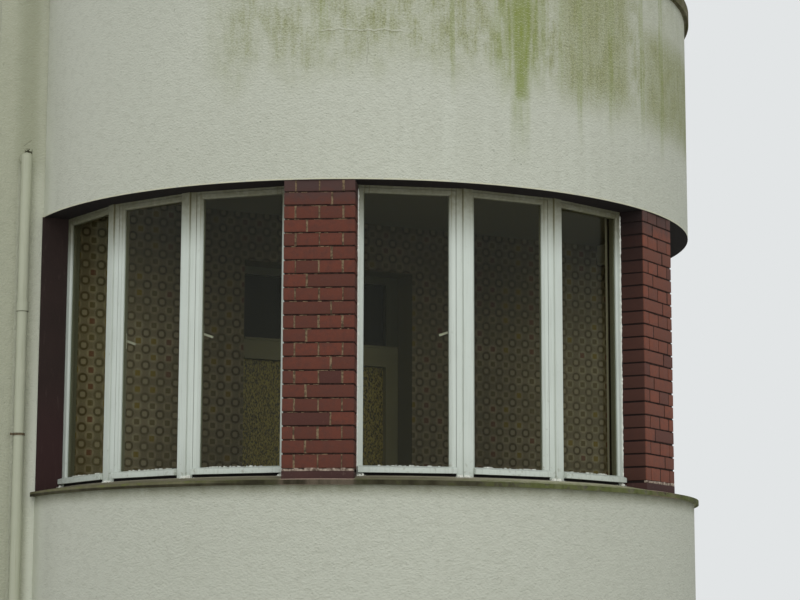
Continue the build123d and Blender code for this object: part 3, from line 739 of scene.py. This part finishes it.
paint(wall_render(), "base_wall*", "parapet_wall*", "house_wall*")
paint(old_paint(), "window_frames*", "sashes*", "drip_rails")
paint(clear_glass(), "window_glass")
paint(board_paint(), "window_boards")
paint(brushed_alloy(), "window_handles")
paint(dark_paint(), "jamb_linings")
paint(plinth_paint(), "pier_plinths")
paint(sill_mortar(), "sill*")
paint(coping_mortar(), "coping*")
paint(floor_boards(), "floor_slab")
paint(deck_felt(), "terrace_deck")
paint(screen_paint(), "screen_frame")
paint(ornament_glass(), "screen_glass")
paint(pipe_paint(), "downpipe")
paint(old_iron(), "pipe_brackets")


# Pieces

def piece(mesh, material, replaced=()):
    """A new piece, named like its mesh, that rides on the root body."""
    mesh.materials.clear()
    mesh.materials.append(material)
    made = bpy.data.objects.new(mesh.name, mesh)
    bpy.context.scene.collection.objects.link(made)
    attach(made, "root")
    if replaced:
        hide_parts(*replaced)


class Heap:
    """Vertices and faces of many small bodies that share one mesh, with a tone for each body."""

    def __init__(self):
        self.points = []
        self.faces = []
        self.tones = []

    def body(self, points, faces, tone):
        """Adds one body; its faces count from its own first point."""
        start = len(self.points)
        self.points += points
        self.tones += [tone] * len(points)
        self.faces += [[start + i for i in face] for face in faces]

    def block(self, place, low, high, bevel, tone, rough=0.0):
        """A block with rounded and slightly uneven edges between two corners in a local frame."""
        low, high = Vector(low), Vector(high)
        body = bmesh.new()
        bmesh.ops.create_cube(body, size=1.0)
        for v in body.verts:
            v.co = Vector((low[i] + (v.co[i] + 0.5) * (high[i] - low[i]) for i in range(3)))
        bmesh.ops.bevel(body, geom=body.edges[:], offset=bevel, segments=2, profile=0.6, affect="EDGES")
        for v in body.verts:
            v.co = place @ v.co
            if rough:
                v.co += noise.noise_vector(v.co * 37.0) * rough
        body.verts.index_update()
        faces = [[v.index for v in face.verts] for face in body.faces]
        self.body([v.co.copy() for v in body.verts], faces, tone)
        body.free()

    def chip(self, place, middle, size, thickness, tilt, tone):
        """A thin chip with a ragged outline, flat on the local x and y before it is tilted."""
        sides = rng.randint(5, 8)
        turn = Matrix.Translation(middle) @ Euler(tilt).to_matrix().to_4x4()
        ring = []
        for k in range(sides):
            angle = 2 * math.pi * (k + rng.uniform(-0.3, 0.3)) / sides
            reach = size * rng.uniform(0.45, 1.0)
            ring.append((reach * math.cos(angle), reach * math.sin(angle)))
        points = [place @ turn @ Vector((x, y, z)) for z in (0.0, thickness) for x, y in ring]
        faces = [list(range(sides))[::-1], list(range(sides, 2 * sides))]
        faces += [[k, (k + 1) % sides, sides + (k + 1) % sides, sides + k] for k in range(sides)]
        self.body(points, faces, tone)

    def bead(self, place, x, y, low, high, radius, tone):
        """An uneven bead that runs up a corner."""
        steps = int((high - low) / BEAD_STEP)
        sides = 7
        points = []
        for k in range(steps + 1):
            z = low + (high - low) * k / steps
            reach = radius * rng.uniform(0.5, 1.1) * (0.3 if k in (0, steps) else 1.0)
            reach *= rng.choice((1.0, 1.0, 1.0, 1.7))
            middle_x = x + rng.uniform(-0.001, 0.001)
            middle_y = y + rng.uniform(-0.001, 0.001)
            for i in range(sides):
                angle = 2 * math.pi * i / sides
                point = (middle_x + reach * math.cos(angle), middle_y + reach * math.sin(angle), z)
                points.append(place @ Vector(point))
        faces = [list(range(sides))[::-1], list(range(steps * sides, (steps + 1) * sides))]
        for k in range(steps):
            for i in range(sides):
                j = (i + 1) % sides
                faces.append([k * sides + i, k * sides + j, (k + 1) * sides + j, (k + 1) * sides + i])
        self.body(points, faces, tone)

    def mesh(self, name):
        made = bpy.data.meshes.new(name)
        made.from_pydata(self.points, [], self.faces)
        attribute = made.attributes.new("tone", "FLOAT", "POINT")
        attribute.data.foreach_set("value", self.tones)
        made.shade_smooth()
        return made


def pier_core(name, node, side):
    """The pier's masonry behind the bricks, with the bed joints raked out as far as the window frames."""
    place = pier_place(side)
    back = place.inverted()
    body = bmesh.new()
    body.from_mesh(nodes[node].data)
    normal = place.to_3x3() @ Vector((0, 1, 0))
    for depth in (BRICK_DEPTH - 0.010, BRICK_DEPTH - 0.002):
        geometry = body.verts[:] + body.edges[:] + body.faces[:]
        cut = place @ Vector((0, depth, 0))
        bmesh.ops.bisect_plane(body, geom=geometry, plane_co=cut, plane_no=normal)
    limit = PIER_HALF - RAKED
    for v in body.verts:
        local = back @ v.co
        if local.y < BRICK_DEPTH - 0.006:
            local.x = max(-limit, min(limit, local.x))
            local.y = max(RAKED, local.y)
            v.co = place @ local
    mesh = bpy.data.meshes.new(name)
    body.to_mesh(mesh)
    body.free()
    return mesh


def course_widths(course, side):
    """Brick widths of a course from left to right; courses count down from the soffit."""
    if course % 2 == 0:
        return (QUARTER, HEADER, HEADER, QUARTER)
    long_left = (course % 4 == 1) == (side < 0)
    return (STRETCHER, HEADER) if long_left else (HEADER, STRETCHER)


def course_levels(course):
    """Foot and top of a course; the last one reaches down into the plinth's joint."""
    top = SOFFIT if course == 0 else FIRST_JOINT - (course - 1) * COURSE - JOINT / 2
    foot = FIRST_JOINT - course * COURSE + JOINT / 2
    if course == COURSES - 1:
        foot -= 0.005
    return foot, top


def smear(heap, place, height):
    """A crumb of mortar left on a bed joint."""
    x = rng.uniform(-PIER_HALF + 0.004, PIER_HALF - 0.022)
    length = min(rng.uniform(0.005, 0.040), PIER_HALF - 0.004 - x)
    foot = height - rng.uniform(0.0, 0.001)
    low = (x, rng.uniform(-0.0006, 0.0020), foot)
    heap.block(place, low, (x + length, 0.012, foot + rng.uniform(0.0022, 0.0042)), 0.0008, 0.0, 0.0012)


def lay_course(course, side, bricks, joints):
    """One course of bricks with the mortar of its head joints."""
    place = pier_place(side)
    foot, top = course_levels(course)
    widths = course_widths(course, side)
    gap = (2 * PIER_HALF - sum(widths)) / (len(widths) - 1)
    x = -PIER_HALF
    for i, width in enumerate(widths):
        shift = rng.uniform(-0.002, 0.002)
        lift = rng.uniform(-0.0012, 0.0012)
        proud = rng.uniform(0.0, 0.0018)
        last = i == len(widths) - 1
        low = (x + (shift if i else 0.0), proud, foot + lift)
        high = (x + width + (0.0 if last else shift), BRICK_DEPTH, top + (lift if course else 0.0))
        bricks.block(place, low, high, 0.0022, rng.random(), 0.0011)
        if not last:
            back = rng.uniform(0.0010, 0.0045)
            low = (x + width - 0.003, back, foot - 0.001)
            high = (x + width + gap + 0.003, 0.05, top + 0.001 if course else top)
            joints.block(place, low, high, 0.0012, 0.0, 0.0012)
        x += width + gap
    for _ in range(rng.randint(5, 9)):
        smear(joints, place, top)


def pier_bricks(side):
    """The bricks of a pier and the mortar between them, as two heaps."""
    bricks = Heap()
    joints = Heap()
    for course in range(COURSES):
        lay_course(course, side, bricks, joints)
    return bricks, joints


def foot_joint(heap, side):
    """The thick uneven bed joint on the pier's plinth."""
    place = pier_place(side)
    x = -PIER_HALF + 0.001
    while x < PIER_HALF - 0.002:
        width = min(rng.uniform(0.018, 0.050), PIER_HALF - 0.001 - x)
        top = PLINTH_TOP + rng.uniform(0.012, 0.018)
        low = (x, rng.uniform(-0.002, 0.002), PLINTH_TOP + 0.0005)
        heap.block(place, low, (x + width + 0.004, 0.03, top), 0.002, 0.0, 0.0016)
        x += width


REVEAL_SHADE = srgb(36, 28, 26)
# The bed joints' mortar is coloured near black: dark mortar and painted shade of the raked joints.
bed_mortar_and_shade = mortar("bed_mortar_and_shade", srgb(58, 42, 35), srgb(36, 26, 23), REVEAL_SHADE)
head_mortars = {
    "left": mortar("head_mortar_left", srgb(126, 108, 84), srgb(74, 60, 47), REVEAL_SHADE),
    "right": mortar("head_mortar_right", srgb(58, 40, 33), srgb(40, 29, 25), REVEAL_SHADE),
}
foot_mortar = mortar("foot_mortar", srgb(172, 158, 142), srgb(92, 76, 66), REVEAL_SHADE)
clay = brick_clay()
feet = Heap()
for side, name in ((-1, "left"), (1, "right")):
    node = "brick_pier_" + name
    piece(pier_core("pier_core_" + name, node, side), bed_mortar_and_shade, (node,))
    bricks, joints = pier_bricks(side)
    piece(bricks.mesh("pier_bricks_" + name), clay)
    piece(joints.mesh("pier_head_joints_" + name), head_mortars[name])
    foot_joint(feet, side)
piece(feet.mesh("pier_foot_joints"), foot_mortar)


def foot_chips(heap, place):
    """Chips of paint that lie on the sill before a window."""
    for _ in range(CHIPS):
        side = rng.choice((-1, 1))
        x = side * (UNIT_HALF - abs(rng.gauss(0, 0.024)))
        y = -rng.uniform(0.004, 0.036)
        foot = FRAME_FOOT + SILL_FALL * y + 0.0004
        flat = (rng.uniform(-0.35, 0.35), rng.uniform(-0.35, 0.35), 0)
        heap.chip(place, (x, y, foot), rng.uniform(0.004, 0.010), 0.0018, flat, rng.random())


def post_lumps(heap, place, side):
    """Lumps of putty at the foot of a post."""
    for _ in range(LUMPS):
        x = side * (UNIT_HALF - rng.uniform(0.002, 0.034))
        y = -rng.uniform(0.008, 0.032)
        wide = rng.uniform(0.005, 0.014)
        foot = FRAME_FOOT + SILL_FALL * y - 0.002
        high = (x + wide / 2, y + 0.022, foot + rng.uniform(0.006, 0.018))
        heap.block(place, (x - wide / 2, y, foot), high, 0.0022, rng.uniform(0.6, 1.0), 0.0024)


def pane_crumbs(heap, place):
    """Crumbs of putty along the foot of a pane."""
    for _ in range(CRUMBS):
        x = rng.uniform(-0.175, 0.165)
        length = rng.uniform(0.003, 0.014)
        low = (x, rng.uniform(0.000, 0.008), GLASS_FOOT - 0.001)
        high = (x + length, 0.0155, GLASS_FOOT + rng.uniform(0.003, 0.009))
        heap.block(place, low, high, 0.0008, rng.random(), 0.0014)


def pier_beads(heap, side):
    """Beads of filler up both sides of a pier, where the window frames meet it."""
    y = PIER_FACE - VERTEX_RADIUS * math.cos(PIER_HALF_ANGLE) - 0.002
    for edge in (-1, 1):
        x = edge * (PIER_HALF + 0.002)
        heap.bead(pier_place(side), x, y, PLINTH_TOP + 0.002, SOFFIT - 0.02, 0.0040, 0.9)


def loose_paint():
    heap = Heap()
    for group in range(3):
        for number in range(3):
            place = unit_place(group, number)
            foot_chips(heap, place)
            for side in (-1, 1):
                post_lumps(heap, place, side)
            pane_crumbs(heap, place)
    for side in (-1, 1):
        pier_beads(heap, side)
    return heap


piece(loose_paint().mesh("loose_paint"), flaking_paint())


# Stage, light and camera

def stage_floor():
    bpy.ops.mesh.primitive_plane_add(size=160)
    floor = bpy.context.object
    s = Shader("stage_floor")
    floor.data.materials.append(s.finish(srgb(205, 205, 202), 0.9))


def sky():
    """Grey daylight all round, and an even pale tone where the camera, a gloss or a pane looks at it."""
    world = bpy.data.worlds.new("studio")
    bpy.context.scene.world = world
    world.use_nodes = True
    tree = world.node_tree
    tree.nodes.clear()

    def either(a, b):
        return add_node(tree, "ShaderNodeMath", {0: a, 1: b}, operation="MAXIMUM").outputs[0]

    def glow(colour, strength):
        return add_node(tree, "ShaderNodeBackground", {0: colour, 1: strength}).outputs[0]

    rays = add_node(tree, "ShaderNodeLightPath").outputs
    seen = either(rays["Is Camera Ray"], either(rays["Is Glossy Ray"], rays["Is Transmission Ray"]))
    daylight = glow((0.97, 0.985, 1.0, 1), 0.78)
    pale = glow(srgb(226, 229, 230), 1.0)
    mixed = add_node(tree, "ShaderNodeMixShader", {0: seen, 1: daylight, 2: pale}).outputs[0]
    add_node(tree, "ShaderNodeOutputWorld", {0: mixed})


def lamp(name, location, aim, size, power, colour=(1.0, 1.0, 1.0)):
    data = bpy.data.lights.new(name, "AREA")
    data.size = size
    data.energy = power
    data.color = colour
    made = bpy.data.objects.new(name, data)
    made.location = location
    made.visible_glossy = False
    made.rotation_mode = "QUATERNION"
    made.rotation_quaternion = (Vector(aim) - made.location).to_track_quat("-Z", "Y")
    bpy.context.scene.collection.objects.link(made)


def camera():
    """The photograph's view, worked out from the bay's curved edges and brick courses."""
    data = bpy.data.cameras.new("camera")
    data.sensor_width = 36.0
    data.lens = LENS
    made = bpy.data.objects.new("camera", data)
    place = Matrix.Translation(polar(VIEW_DISTANCE, VIEW_AZIMUTH, EYE_LEVEL))
    turn = Matrix.Rotation(VIEW_AZIMUTH - TURN_ASIDE, 4, "Z") @ Matrix.Rotation(math.pi / 2 + PITCH, 4, "X")
    made.matrix_world = place @ turn @ Matrix.Rotation(ROLL, 4, "Z")
    bpy.context.scene.collection.objects.link(made)
    bpy.context.scene.camera = made


stage_floor()
sky()
lamp("key", polar(15.0, math.radians(-20), 8.5), aim=(0.0, 0.0, 3.2), size=13.0, power=760.0)
lamp("room", (0.0, 0.2, 4.12), aim=(0.0, 0.5, 1.4), size=1.2, power=0.4, colour=(1.0, 0.94, 0.82))
camera()
bpy.context.scene.view_settings.view_transform = "Standard"
